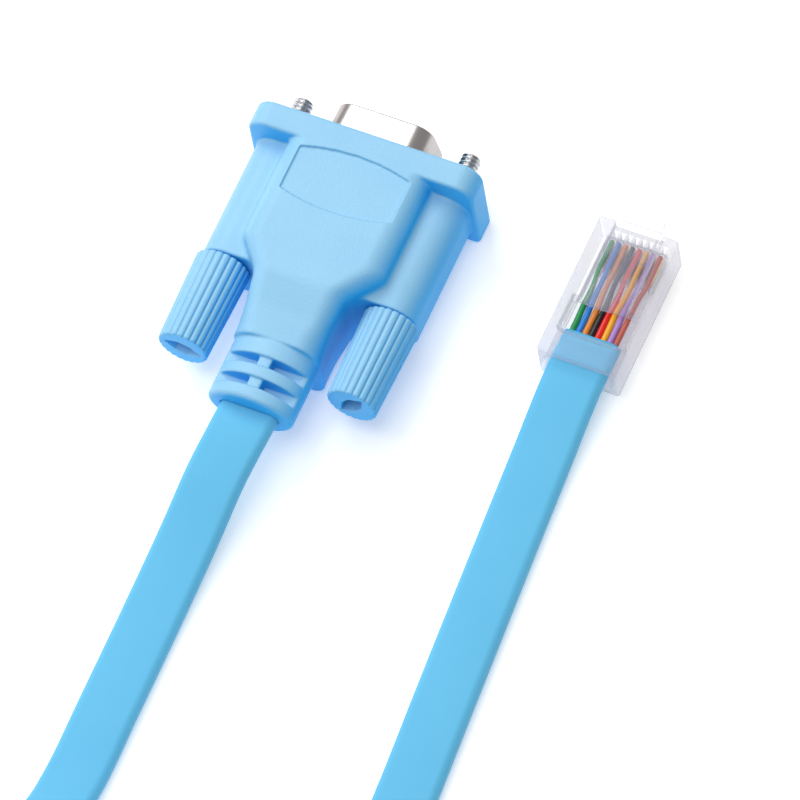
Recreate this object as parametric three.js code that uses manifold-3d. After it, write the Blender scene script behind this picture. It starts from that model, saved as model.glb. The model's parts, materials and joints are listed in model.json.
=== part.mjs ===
// A console cable: a 9-way D-sub socket in a moulded hood, a flat cable in a round coil and a clear
// 8-way modular plug. Millimetres, +Z up, the hood mates towards +Y and lies on z = 0.

import * as THREE from "three";
import { mergeVertices } from "three/addons/utils/BufferGeometryUtils.js";
import Module from "manifold-3d";

const wasm = await Module();
wasm.setup();

// Clearances
const TOUCH_GAP = 0.3; // between pieces that touch on the real cable
const FLOOR_CLEARANCE = 0.05; // under the cable where it lies flat
const CUT_MARGIN = 1; // how far a cutting body stands out of the face that it cuts

// D-sub interface
const SCREW_SPACING = 24.99;
const AXIS_HEIGHT = 7; // of both screws and the shell over the floor
const SHELL_WIDTH = 16.3;
const SHELL_HEIGHT = 7.9;
const SHELL_REACH = 4.9; // in front of the hood
const SHELL_WALL = 0.45;
const SHELL_CORNER = 2.4;
const SHELL_SLANT = 1.39; // how much narrower each side is at the top edge
const SHELL_SEAT = 3; // how deep the shell stands in the hood
const INSULATOR_SETBACK = 0.4; // of its face behind the shell's edge
const INSULATOR_DEPTH = 8;
const CONTACT_PITCH = 2.77;
const CONTACT_ROW_SPACING = 2.84;
const CONTACTS_IN_WIDE_ROW = 5;
const CONTACTS_IN_NARROW_ROW = 4;
const CONTACT_RADIUS = 0.85;
const CONTACT_BORE = 0.52;
const CONTACT_SETBACK = 0.9; // of its mouth behind the insulator's face
const CONTACT_LENGTH = 6;
const ENTRY_RADIUS = 0.62;

// Hood
const FLANGE_WIDTH = 33.4;
const FLANGE_DEPTH = 3.9;
const FLANGE_TOP_CORNER = 2.8;
const FLANGE_FOOT_CORNER = 0.8;
const HOOD_HEIGHT = 14;
const BODY_WIDTH = 21;
const BODY_END = 19.4; // distance of the shoulders behind the mating face
const CREASE_WIDTH = 13;
const CREASE_END = 24;
const WAIST_WIDTH = 12.6;
const WAIST_END = 28.4;
const WAIST_TOP = 12.4;
const COLLAR_WIDTH = 12.9;
const COLLAR_END = 32.7;
const COLLAR_TOP = 11.3;
const BODY_CORNER = 2.4;
const BODY_FOOT_CORNER = 2.2;
const COLLAR_CORNER = 3.4;
const BOOT_WIDTH = 12.5;
const BOOT_HEIGHT = 8.4;
const BOOT_END = 42;
const SLOT_STARTS = [35.2, 38.5];
const SLOT_WIDTH = 1.5;
const SLOT_BRIDGE = 1.9;
const SLOT_FLOOR = 1.6; // over the cable's middle plane
const HOUSING_REACH = 3.3; // of the screws' housings beyond each screw's axis
const HOUSING_FOOT = 1;
const HOUSING_TOP = 10.5;
const HOUSING_FOOT_CORNER = 3;
const HOUSING_TOP_CORNER = 3.5;
const HOUSING_END = 22.2;
const LABEL_WIDTH = 16.2;
const LABEL_START = 5.1;
const LABEL_END = 11.9;
const LABEL_BULGE = 1.2;
const LABEL_DEPTH = 0.35;

// Thumbscrews
const SCREW_DIAMETER = 2.84;
const SCREW_REACH = 4.9;
const SCREW_CHAMFER = 0.35;
const SCREW_END = 32;
const KNOB_LENGTH = 13.7;
const KNOB_FRONT_DIAMETER = 8;
const KNOB_REAR_DIAMETER = 7.3;
const KNOB_EDGE = 0.35;
const DRIVE_LENGTH = 4.4;
const DRIVE_WIDTH = 1.9;
const DRIVE_FLAT = 1.2;
const DRIVE_DEPTH = 1.6;

// Flat cable
const CABLE_WIDTH = 8.4;
const CABLE_THICKNESS = 2.4;
const CABLE_CORNER = 1;
const CABLE_STEP = 6.5; // length of one step of the tubes
const COIL_CENTRE = new THREE.Vector2(20, -143);
const COIL_MEAN_RADIUS = 43;
const COIL_TURN_PITCH = 3;
const COIL_TURNS_IN_LAYER = 2.33;
const COIL_LAYERS = 2;
const COIL_LAYER_PITCH = 8.7;
const COIL_CORNER = 0.8;

// The tie that holds the coil
const TIE_ANGLE = -Math.PI / 2;
const TIE_WIDTH = 10;
const TIE_THICKNESS = 0.8;

// Modular plug, measured back from its nose and up from its contact side
const PLUG_CENTRE_X = 37.9;
const PLUG_NOSE_Y = 21.5;
const PLUG_WIDTH = 11.68;
const PLUG_LENGTH = 21.9;
const PLUG_HEIGHT = 6.6;
const PLUG_EDGE = 0.5;
const WIRE_PITCH = 1.02;
const WIRE_COUNT = 8;
const WIRE_DIAMETER = 0.9;
const WIRE_HEIGHT = 3.3; // of the wires' middle, which is also the cable's there
const WIRE_START = 1.6;
const JACKET_START = 16.75;
const WIRE_CHANNEL_HEIGHT = 1.5;
const CAVITY_WIDTH = 9.4;
const CAVITY_HEIGHT = 3.4;
const WINDOW_START = 12.4; // also where the latch's pocket ends
const WINDOW_END = 18;
const WINDOW_WIDTH = 9;
const LATCH_POCKET_WIDTH = 6.9;
const LATCH_POCKET_FLOOR = 4.9;
const BLADE_THICKNESS = 0.3;
const BLADE_START = 1;
const BLADE_LENGTH = 4.4;
const BLADE_FOOT = 0.6;
const BLADE_SLOT_WIDTH = 0.62;
const BLADE_SLOT_END = 6;

// Spring latch
const LATCH_REACH = 1.6; // in front of the nose
const LATCH_ROOT_WIDTH = 6.3;
const LATCH_SHOULDER = 5.4; // behind the nose
const LATCH_LEVER_WIDTH = 3.7;
const LATCH_END = 14.3;
const LATCH_ROOT_TOP = 7.2;
const LATCH_SHOULDER_TOP = 7.6;
const LATCH_END_TOP = 9;
const LATCH_THICKNESS = 1.2;
const LATCH_ROOT_FOOT = 5.4;
const LATCH_HOOK = 1; // depth of the root in front of the nose

// Facets
const ROUND_SIDES = 32;
const SMALL_ROUND_SIDES = 12;
const CORNER_STEPS = 5;

// Worked out from the sizes above
const HALF_TURN = Math.PI;
const MATING_FACE_Y = (BOOT_END - SHELL_REACH) / 2;
const SCREW_X = SCREW_SPACING / 2;
const KNOB_START = HOUSING_END + TOUCH_GAP;
const KNOB_END = KNOB_START + KNOB_LENGTH;
const COIL_LAYER_WIDTH = COIL_TURN_PITCH * COIL_TURNS_IN_LAYER;
const COIL_INNER = COIL_MEAN_RADIUS - (COIL_LAYER_WIDTH + CABLE_THICKNESS) / 2;
const COIL_OUTER = COIL_MEAN_RADIUS + (COIL_LAYER_WIDTH + CABLE_THICKNESS) / 2;
const COIL_FOOT = TIE_THICKNESS + TOUCH_GAP;
const COIL_HEIGHT = COIL_LAYER_PITCH * COIL_LAYERS;
const CABLE_REST = CABLE_THICKNESS / 2 + FLOOR_CLEARANCE; // height of its middle where it lies flat
const INSULATOR_FACE = SHELL_REACH - INSULATOR_SETBACK;
const CONTACT_MOUTH = INSULATOR_FACE - CONTACT_SETBACK;

// Boolean work on closed meshes.
function solidFrom(geometry) {
  const bare = geometry.index ? geometry.toNonIndexed() : geometry.clone();
  bare.deleteAttribute("normal");
  bare.deleteAttribute("uv");
  const merged = mergeVertices(bare, 1e-4);
  return new wasm.Manifold(
    new wasm.Mesh({
      numProp: 3,
      vertProperties: new Float32Array(merged.attributes.position.array),
      triVerts: new Uint32Array(merged.index.array),
    }),
  );
}

function geometryFrom(solid) {
  const mesh = solid.getMesh();
  const positions = new Float32Array(mesh.numVert * 3);
  for (let i = 0; i < mesh.numVert; i++) {
    const start = i * mesh.numProp;
    positions.set(mesh.vertProperties.subarray(start, start + 3), i * 3);
  }
  const geometry = new THREE.BufferGeometry();
  geometry.setAttribute("position", new THREE.BufferAttribute(positions, 3));
  geometry.setIndex(new THREE.BufferAttribute(new Uint32Array(mesh.triVerts), 1));
  geometry.computeVertexNormals();
  return geometry;
}

function subtractAll(geometry, cutters) {
  const whole = solidFrom(geometry);
  return geometryFrom(cutters.reduce((left, cutter) => left.subtract(solidFrom(cutter)), whole));
}

function addAll(geometries) {
  const [first, ...rest] = geometries.map(solidFrom);
  return geometryFrom(rest.reduce((sum, solid) => sum.add(solid), first));
}

// A box by its limits along each axis.
function boxBetween(x0, x1, y0, y1, z0, z1) {
  const box = new THREE.BoxGeometry(x1 - x0, y1 - y0, z1 - z0);
  return box.translate((x0 + x1) / 2, (y0 + y1) / 2, (z0 + z1) / 2);
}

// A shape drawn in X and Z, extruded along Y from yBack to yFront.
function extrudeAlongY(shape, yBack, yFront) {
  const options = { depth: yFront - yBack, bevelEnabled: false, curveSegments: CORNER_STEPS };
  const geometry = new THREE.ExtrudeGeometry(shape, options);
  return geometry.rotateX(HALF_TURN / 2).translate(0, yFront, 0);
}

// A shape drawn in Y and Z, extruded along X over the given width, middle on x = 0.
function extrudeAlongX(shape, width) {
  const geometry = new THREE.ExtrudeGeometry(shape, { depth: width, bevelEnabled: false });
  geometry.translate(0, 0, -width / 2);
  const turn = new THREE.Matrix4().makeBasis(
    new THREE.Vector3(0, 1, 0),
    new THREE.Vector3(0, 0, 1),
    new THREE.Vector3(1, 0, 0),
  );
  return geometry.applyMatrix4(turn);
}

// A body turned about the Y axis from [radius, y] pairs that start and end on the axis or close.
function turnedAboutY(profile, sides) {
  const points = profile.map(([radius, y]) => new THREE.Vector2(radius, y));
  return new THREE.LatheGeometry(points, sides);
}

function rodAlongY(radius, yBack, yFront, sides) {
  const rod = new THREE.CylinderGeometry(radius, radius, yFront - yBack, sides);
  return rod.translate(0, (yBack + yFront) / 2, 0);
}

// A closed outline of straight runs between points.
function outline(points) {
  return new THREE.Shape(points.map(([x, y]) => new THREE.Vector2(x, y)));
}

// A rectangle with one corner radius at its foot and another at its top.
function roundedSection(width, foot, top, footCorner, topCorner) {
  const half = width / 2;
  const shape = new THREE.Shape();
  shape.moveTo(-half + footCorner, foot);
  shape.lineTo(half - footCorner, foot);
  shape.absarc(half - footCorner, foot + footCorner, footCorner, -HALF_TURN / 2, 0, false);
  shape.lineTo(half, top - topCorner);
  shape.absarc(half - topCorner, top - topCorner, topCorner, 0, HALF_TURN / 2, false);
  shape.lineTo(-half + topCorner, top);
  shape.absarc(-half + topCorner, top - topCorner, topCorner, HALF_TURN / 2, HALF_TURN, false);
  shape.lineTo(-half, foot + footCorner);
  shape.absarc(-half + footCorner, foot + footCorner, footCorner, HALF_TURN, HALF_TURN * 1.5, false);
  return shape;
}

// The D outline: the wide side at the foot, sides slanting inwards to the top, grown by the margin.
function dOutline(margin) {
  const foot = SHELL_WIDTH / 2 + margin;
  const top = foot - SHELL_SLANT;
  const high = SHELL_HEIGHT / 2 + margin;
  const radius = SHELL_CORNER + margin;
  const corners = [
    [foot, -high],
    [top, high],
    [-top, high],
    [-foot, -high],
  ].map(([x, z]) => new THREE.Vector2(x, z + AXIS_HEIGHT));
  const shape = new THREE.Shape();
  corners.forEach((corner, i) => {
    const before = corners[(i + 3) % 4];
    const after = corners[(i + 1) % 4];
    const start = corner.clone().add(before.clone().sub(corner).setLength(radius));
    const end = corner.clone().add(after.clone().sub(corner).setLength(radius));
    if (i === 0) shape.moveTo(start.x, start.y);
    else shape.lineTo(start.x, start.y);
    shape.quadraticCurveTo(corner.x, corner.y, end.x, end.y);
  });
  shape.closePath();
  return shape;
}

// One section of the hood: a rectangle with elliptic corners, as a ring of points at one y.
function hoodSection({ y, width, foot, top, footCorner, topCorner, topCornerWidth }) {
  const half = width / 2;
  const across = topCornerWidth ?? topCorner;
  const ring = [];
  const corners = [
    [half - footCorner, foot + footCorner, footCorner, footCorner, -0.5],
    [half - across, top - topCorner, across, topCorner, 0],
    [-half + across, top - topCorner, across, topCorner, 0.5],
    [-half + footCorner, foot + footCorner, footCorner, footCorner, 1],
  ];
  for (const [x, z, radiusX, radiusZ, start] of corners) {
    for (let i = 0; i <= CORNER_STEPS; i++) {
      const angle = HALF_TURN * (start + i / CORNER_STEPS / 2);
      ring.push(new THREE.Vector3(x + radiusX * Math.cos(angle), y, z + radiusZ * Math.sin(angle)));
    }
  }
  return ring;
}

// A closed body through rings of equal point count, from the front backwards.
function lofted(rings) {
  const count = rings[0].length;
  const points = rings.flat();
  const index = [];
  rings.slice(1).forEach((_, r) => {
    for (let i = 0; i < count; i++) {
      const next = (i + 1) % count;
      const a = r * count + i;
      const b = r * count + next;
      index.push(a, b, a + count, b, b + count, a + count);
    }
  });
  const last = (rings.length - 1) * count;
  for (let i = 1; i < count - 1; i++) {
    index.push(0, i + 1, i);
    index.push(last, last + i, last + i + 1);
  }
  const geometry = new THREE.BufferGeometry().setFromPoints(points);
  geometry.setIndex(index);
  return geometry;
}

// The hood's body, neck and collar.
function hoodBody() {
  const section = { foot: 0, footCorner: BODY_FOOT_CORNER };
  const stations = [
    { y: -FLANGE_DEPTH / 2, width: BODY_WIDTH, top: HOOD_HEIGHT, topCorner: BODY_CORNER },
    { y: -BODY_END, width: BODY_WIDTH, top: HOOD_HEIGHT, topCorner: BODY_CORNER },
    { y: -CREASE_END, width: CREASE_WIDTH, top: HOOD_HEIGHT, topCorner: BODY_CORNER },
    { y: -WAIST_END, width: WAIST_WIDTH, top: WAIST_TOP, topCorner: BODY_CORNER },
    { y: -COLLAR_END, width: COLLAR_WIDTH, top: COLLAR_TOP, topCorner: COLLAR_CORNER },
  ];
  return lofted(stations.map((station) => hoodSection({ ...section, ...station })));
}

function boot() {
  const shape = new THREE.Shape();
  shape.absellipse(0, AXIS_HEIGHT, BOOT_WIDTH / 2, BOOT_HEIGHT / 2, 0, 2 * HALF_TURN, false, 0);
  return extrudeAlongY(new THREE.Shape(shape.getPoints(ROUND_SIDES)), -BOOT_END, -COLLAR_END + CUT_MARGIN);
}

// Both screws' housings: one broad block through the body, its outer sides rounded.
function screwHousings() {
  const shape = roundedSection(
    2 * (SCREW_X + HOUSING_REACH),
    HOUSING_FOOT,
    HOUSING_TOP,
    HOUSING_FOOT_CORNER,
    HOUSING_TOP_CORNER,
  );
  return extrudeAlongY(shape, -HOUSING_END, -FLANGE_DEPTH / 2);
}

// Cuts on both sides of the bridge, over and under the cable.
function bootSlots() {
  const cutters = [];
  for (const start of SLOT_STARTS) {
    for (const side of [-1, 1]) {
      for (const face of [-1, 1]) {
        const x = [side * (SLOT_BRIDGE / 2), side * BOOT_WIDTH].sort((a, b) => a - b);
        const near = AXIS_HEIGHT + face * SLOT_FLOOR;
        const z = [near, AXIS_HEIGHT + face * BOOT_HEIGHT].sort((a, b) => a - b);
        cutters.push(boxBetween(x[0], x[1], -start - SLOT_WIDTH, -start, z[0], z[1]));
      }
    }
  }
  return cutters;
}

// The label's bare field: straight ends, front and rear edges bowed outwards.
function labelCut() {
  const half = LABEL_WIDTH / 2;
  const shape = new THREE.Shape();
  shape.moveTo(-half, -LABEL_START);
  shape.lineTo(-half, -LABEL_END);
  shape.quadraticCurveTo(0, -LABEL_END - 2 * LABEL_BULGE, half, -LABEL_END);
  shape.lineTo(half, -LABEL_START);
  shape.quadraticCurveTo(0, -LABEL_START + 2 * LABEL_BULGE, -half, -LABEL_START);
  const options = { depth: LABEL_DEPTH + CUT_MARGIN, bevelEnabled: false, curveSegments: 10 };
  const cut = new THREE.ExtrudeGeometry(shape, options);
  return cut.translate(0, 0, HOOD_HEIGHT - LABEL_DEPTH);
}

function hoodGeometry() {
  const flange = extrudeAlongY(
    roundedSection(FLANGE_WIDTH, 0, HOOD_HEIGHT, FLANGE_FOOT_CORNER, FLANGE_TOP_CORNER),
    -FLANGE_DEPTH,
    0,
  );
  const moulded = addAll([flange, hoodBody(), boot(), screwHousings()]);
  const boreRadius = SCREW_DIAMETER / 2 + TOUCH_GAP;
  const bores = [-1, 1].map((side) =>
    rodAlongY(boreRadius, -HOUSING_END - CUT_MARGIN, CUT_MARGIN, SMALL_ROUND_SIDES).translate(
      side * SCREW_X,
      0,
      AXIS_HEIGHT,
    ),
  );
  const seat = extrudeAlongY(dOutline(TOUCH_GAP), -SHELL_SEAT - TOUCH_GAP, CUT_MARGIN);
  const insulatorBack = INSULATOR_FACE - INSULATOR_DEPTH - TOUCH_GAP;
  const hollow = extrudeAlongY(dOutline(-SHELL_WALL), insulatorBack, CUT_MARGIN);
  return subtractAll(moulded, [seat, hollow, ...bores, ...bootSlots(), labelCut()]);
}

function shellGeometry() {
  const outer = extrudeAlongY(dOutline(0), -SHELL_SEAT, SHELL_REACH);
  const bore = extrudeAlongY(dOutline(-SHELL_WALL), -SHELL_SEAT - CUT_MARGIN, SHELL_REACH + CUT_MARGIN);
  return subtractAll(outer, [bore]);
}

// The nine places of the contacts: four over five, seen from the front.
function contactPlaces() {
  const rows = [
    [CONTACTS_IN_WIDE_ROW, -CONTACT_ROW_SPACING / 2],
    [CONTACTS_IN_NARROW_ROW, CONTACT_ROW_SPACING / 2],
  ];
  return rows.flatMap(([count, height]) =>
    Array.from({ length: count }, (_, i) => [
      (i - (count - 1) / 2) * CONTACT_PITCH,
      AXIS_HEIGHT + height,
    ]),
  );
}

function insulatorGeometry() {
  const block = extrudeAlongY(
    dOutline(-SHELL_WALL - TOUCH_GAP),
    INSULATOR_FACE - INSULATOR_DEPTH,
    INSULATOR_FACE,
  );
  const back = INSULATOR_FACE - INSULATOR_DEPTH - CUT_MARGIN;
  const chamber = CONTACT_RADIUS + TOUCH_GAP / 2;
  const cutters = contactPlaces().flatMap(([x, z]) => [
    rodAlongY(ENTRY_RADIUS, back, INSULATOR_FACE + CUT_MARGIN, SMALL_ROUND_SIDES).translate(x, 0, z),
    rodAlongY(chamber, back, CONTACT_MOUTH + TOUCH_GAP / 2, SMALL_ROUND_SIDES).translate(x, 0, z),
  ]);
  return subtractAll(block, cutters);
}

function contactGeometry() {
  const end = CONTACT_MOUTH - CONTACT_LENGTH;
  return turnedAboutY(
    [
      [CONTACT_BORE, end],
      [CONTACT_RADIUS, end],
      [CONTACT_RADIUS, CONTACT_MOUTH],
      [CONTACT_BORE, CONTACT_MOUTH],
      [CONTACT_BORE, end],
    ],
    SMALL_ROUND_SIDES,
  );
}

function screwGeometry() {
  const radius = SCREW_DIAMETER / 2;
  return turnedAboutY(
    [
      [0, -SCREW_END],
      [radius, -SCREW_END],
      [radius, SCREW_REACH - SCREW_CHAMFER],
      [radius - SCREW_CHAMFER, SCREW_REACH],
      [0, SCREW_REACH],
    ],
    SMALL_ROUND_SIDES,
  );
}

function knobGeometry() {
  const front = KNOB_FRONT_DIAMETER / 2;
  const rear = KNOB_REAR_DIAMETER / 2;
  const knob = turnedAboutY(
    [
      [0, -KNOB_END],
      [rear - KNOB_EDGE, -KNOB_END],
      [rear, -KNOB_END + KNOB_EDGE],
      [front, -KNOB_START - KNOB_EDGE],
      [front - KNOB_EDGE, -KNOB_START],
      [0, -KNOB_START],
    ],
    ROUND_SIDES,
  );
  const bore = rodAlongY(
    SCREW_DIAMETER / 2 + TOUCH_GAP,
    -SCREW_END - TOUCH_GAP,
    -KNOB_START + CUT_MARGIN,
    SMALL_ROUND_SIDES,
  );
  const drive = extrudeAlongY(
    outline([
      [-DRIVE_LENGTH / 2, 0],
      [-DRIVE_FLAT / 2, -DRIVE_WIDTH / 2],
      [DRIVE_FLAT / 2, -DRIVE_WIDTH / 2],
      [DRIVE_LENGTH / 2, 0],
      [DRIVE_FLAT / 2, DRIVE_WIDTH / 2],
      [-DRIVE_FLAT / 2, DRIVE_WIDTH / 2],
    ]),
    -KNOB_END - CUT_MARGIN,
    -KNOB_END + DRIVE_DEPTH,
  );
  return subtractAll(knob, [bore, drive]);
}

// A curve through points whose section rolls about it: rolls holds one angle for each point, 0 where
// the cable lies flat and a quarter turn where it stands on its edge.
class RolledCurve extends THREE.CatmullRomCurve3 {
  constructor(points, rolls) {
    super(points, false, "centripetal");
    this.rolls = rolls;
  }

  rollAt(u) {
    const place = this.getUtoTmapping(u) * (this.rolls.length - 1);
    const before = Math.min(Math.floor(place), this.rolls.length - 2);
    return THREE.MathUtils.lerp(this.rolls[before], this.rolls[before + 1], place - before);
  }

  computeFrenetFrames(segments) {
    const up = new THREE.Vector3(0, 0, 1);
    const frames = { tangents: [], normals: [], binormals: [] };
    for (let i = 0; i <= segments; i++) {
      const tangent = this.getTangentAt(i / segments);
      const level = new THREE.Vector3().crossVectors(tangent, up).normalize();
      const normal = level.applyAxisAngle(tangent, this.rollAt(i / segments));
      frames.tangents.push(tangent);
      frames.normals.push(normal);
      frames.binormals.push(new THREE.Vector3().crossVectors(tangent, normal));
    }
    return frames;
  }
}

function cableTube(route) {
  const points = route.map(([x, y, z]) => new THREE.Vector3(x, y, z));
  const rolls = route.map((stop) => THREE.MathUtils.degToRad(stop[3]));
  const curve = new RolledCurve(points, rolls);
  const half = [CABLE_WIDTH / 2, CABLE_THICKNESS / 2];
  const inner = CABLE_CORNER * (1 - Math.SQRT1_2);
  const section = outline(
    [
      [1, -1],
      [1, 1],
      [-1, 1],
      [-1, -1],
    ].flatMap(([x, y]) => {
      const alongX = [x * (half[0] - CABLE_CORNER), y * half[1]];
      const corner = [x * (half[0] - inner), y * (half[1] - inner)];
      const alongY = [x * half[0], y * (half[1] - CABLE_CORNER)];
      return x * y < 0 ? [alongX, corner, alongY] : [alongY, corner, alongX];
    }),
  );
  const steps = Math.round(curve.getLength() / CABLE_STEP);
  return new THREE.ExtrudeGeometry(section, { steps, extrudePath: curve, bevelEnabled: false });
}

// Where a turn leaves the coil: the end of a stretch that lies against the coil's outer face.
function coilExit(degrees, layer, roll) {
  const angle = THREE.MathUtils.degToRad(degrees);
  const radius = COIL_OUTER + TOUCH_GAP * 2 + CABLE_THICKNESS / 2;
  return [
    COIL_CENTRE.x + radius * Math.cos(angle),
    COIL_CENTRE.y + radius * Math.sin(angle),
    COIL_FOOT + COIL_LAYER_PITCH * (layer + 1 / 2),
    roll,
  ];
}

// Each stop is x, y, z and the section's roll in degrees.
const hoodRoute = [
  [0, MATING_FACE_Y - BOOT_END - TOUCH_GAP, AXIS_HEIGHT, 0],
  [-0.15, -27, 6.9, 0],
  [-0.75, -33, 5.5, 0],
  [-1.2, -42, 2.8, 0],
  [-1.4, -54, CABLE_REST, 0],
  [-1.2, -68, CABLE_REST, 0],
  [-1.1, -80, CABLE_REST, 0],
  [-1.8, -86.5, 1.8, 6],
  [-5.2, -94.5, 3.2, 28],
  [-12.3, -102.6, 4.5, 55],
  [-19.2, -111.3, 5.1, 80],
  coilExit(153, 0, 90),
];

const plugRoute = [
  [PLUG_CENTRE_X, PLUG_NOSE_Y - JACKET_START, WIRE_HEIGHT, 0],
  [37.85, -2, WIRE_HEIGHT, 0],
  [38.1, -14, 1.6, 0],
  [38.95, -30, CABLE_REST, 0],
  [40.2, -50, CABLE_REST, 0],
  [41.35, -68, CABLE_REST, 0],
  [42.3, -84, 2.6, -15],
  [46.8, -95.6, 5.6, -40],
  [56.4, -107.2, 10.6, -75],
  coilExit(27, 1, -90),
];

// The coil's outer shape grown by a margin: a ring of rectangular section with broken corners.
function coilRing(margin) {
  const inner = COIL_INNER - margin;
  const outer = COIL_OUTER + margin;
  const foot = COIL_FOOT - margin;
  const top = COIL_FOOT + COIL_HEIGHT + margin;
  const ring = new THREE.LatheGeometry(
    [
      [inner + COIL_CORNER, foot],
      [outer - COIL_CORNER, foot],
      [outer, foot + COIL_CORNER],
      [outer, top - COIL_CORNER],
      [outer - COIL_CORNER, top],
      [inner + COIL_CORNER, top],
      [inner, top - COIL_CORNER],
      [inner, foot + COIL_CORNER],
      [inner + COIL_CORNER, foot],
    ].map(([radius, z]) => new THREE.Vector2(radius, z)),
    2 * ROUND_SIDES,
  );
  return ring.rotateX(HALF_TURN / 2);
}

// A band around the coil's section that follows the coil's curve for its own width.
function tieGeometry() {
  const reach = COIL_OUTER + 2 * TIE_THICKNESS;
  const stretch = boxBetween(0, reach, -TIE_WIDTH / 2, TIE_WIDTH / 2, -CUT_MARGIN, COIL_OUTER);
  const band = solidFrom(coilRing(TOUCH_GAP + TIE_THICKNESS)).subtract(solidFrom(coilRing(TOUCH_GAP)));
  return geometryFrom(band.intersect(solidFrom(stretch)));
}

function plugBodyGeometry() {
  const shell = extrudeAlongY(
    roundedSection(PLUG_WIDTH, 0, PLUG_HEIGHT, PLUG_EDGE, PLUG_EDGE),
    -PLUG_LENGTH,
    0,
  );
  const wiresHalf = (WIRE_COUNT * WIRE_PITCH) / 2;
  const channelHalf = WIRE_CHANNEL_HEIGHT / 2;
  const cavityHalf = CAVITY_WIDTH / 2;
  const windowHalf = WINDOW_WIDTH / 2;
  const pocketHalf = LATCH_POCKET_WIDTH / 2;
  const overTop = PLUG_HEIGHT + CUT_MARGIN;
  const cutters = [
    boxBetween(
      -wiresHalf - TOUCH_GAP,
      wiresHalf + TOUCH_GAP,
      -JACKET_START,
      -WIRE_START + TOUCH_GAP,
      WIRE_HEIGHT - channelHalf,
      WIRE_HEIGHT + channelHalf,
    ),
    boxBetween(
      -cavityHalf,
      cavityHalf,
      -PLUG_LENGTH - CUT_MARGIN,
      -JACKET_START + 2 * TOUCH_GAP,
      WIRE_HEIGHT - CAVITY_HEIGHT / 2,
      WIRE_HEIGHT + CAVITY_HEIGHT / 2,
    ),
    boxBetween(-pocketHalf, pocketHalf, -WINDOW_START - TOUCH_GAP, CUT_MARGIN, LATCH_POCKET_FLOOR, overTop),
    boxBetween(-windowHalf, windowHalf, -WINDOW_END, -WINDOW_START, WIRE_HEIGHT, overTop),
  ];
  for (let i = 0; i < WIRE_COUNT; i++) {
    const x = (i - (WIRE_COUNT - 1) / 2) * WIRE_PITCH;
    const half = BLADE_SLOT_WIDTH / 2;
    cutters.push(boxBetween(x - half, x + half, -BLADE_SLOT_END, CUT_MARGIN, -CUT_MARGIN, WIRE_HEIGHT));
  }
  return subtractAll(shell, cutters);
}

function latchGeometry() {
  const wide = extrudeAlongX(
    outline([
      [LATCH_REACH, LATCH_ROOT_FOOT],
      [LATCH_REACH, LATCH_ROOT_TOP],
      [-LATCH_SHOULDER, LATCH_SHOULDER_TOP],
      [-LATCH_SHOULDER, LATCH_SHOULDER_TOP - LATCH_THICKNESS],
      [LATCH_REACH - LATCH_HOOK, LATCH_ROOT_TOP - LATCH_THICKNESS],
      [LATCH_REACH - LATCH_HOOK, LATCH_ROOT_FOOT],
    ]),
    LATCH_ROOT_WIDTH,
  );
  const lever = extrudeAlongX(
    outline([
      [-LATCH_SHOULDER + CUT_MARGIN, LATCH_SHOULDER_TOP - LATCH_THICKNESS],
      [-LATCH_SHOULDER + CUT_MARGIN, LATCH_SHOULDER_TOP - TOUCH_GAP],
      [-LATCH_SHOULDER, LATCH_SHOULDER_TOP - TOUCH_GAP],
      [-LATCH_END, LATCH_END_TOP],
      [-LATCH_END, LATCH_END_TOP - LATCH_THICKNESS],
      [-LATCH_SHOULDER, LATCH_SHOULDER_TOP - LATCH_THICKNESS],
    ]),
    LATCH_LEVER_WIDTH,
  );
  return addAll([wide, lever]);
}

// Materials
const softBlue = { color: 0xa6d8f7, roughness: 0.55, metalness: 0 };
const cableBlue = { color: 0x6fc8f1, roughness: 0.45, metalness: 0 };
const nickel = { color: 0xd9d4d2, roughness: 0.18, metalness: 1 };
const steel = { color: 0xb8b6b4, roughness: 0.3, metalness: 1 };
const gold = { color: 0xd9b25a, roughness: 0.25, metalness: 1 };
const insulatorBlack = { color: 0x1c1d20, roughness: 0.6, metalness: 0 };
const clearPlastic = { color: 0xe9ecf3, roughness: 0.1, metalness: 0 };
const tieGrey = { color: 0x3a3d42, roughness: 0.8, metalness: 0 };
const wireColours = [0x119a4a, 0x0b7fe0, 0xf08a1d, 0x141416, 0xf8200e, 0xfbb00e, 0xb98fd6, 0xcf5b4b];

function piece(name, geometry, finish) {
  const mesh = new THREE.Mesh(geometry, new THREE.MeshStandardMaterial(finish));
  mesh.name = name;
  return mesh;
}

// The connector end, in a frame whose y = 0 is the mating face.
function connectorEnd() {
  const group = new THREE.Group();
  group.position.y = MATING_FACE_Y;
  group.add(piece("hood", hoodGeometry(), softBlue));
  group.add(piece("d_shell", shellGeometry(), nickel));
  group.add(piece("socket_block", insulatorGeometry(), insulatorBlack));
  contactPlaces().forEach(([x, z], i) => {
    const contact = piece(`socket_contact_${i + 1}`, contactGeometry(), gold);
    contact.position.set(x, 0, z);
    group.add(contact);
  });
  for (const [side, word] of [
    [-1, "left"],
    [1, "right"],
  ]) {
    const thumbscrew = new THREE.Group();
    thumbscrew.position.set(side * SCREW_X, 0, AXIS_HEIGHT);
    thumbscrew.add(piece(`${word}_screw`, screwGeometry(), steel));
    thumbscrew.add(piece(`${word}_knob`, knobGeometry(), softBlue));
    group.add(thumbscrew);
  }
  return group;
}

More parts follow.
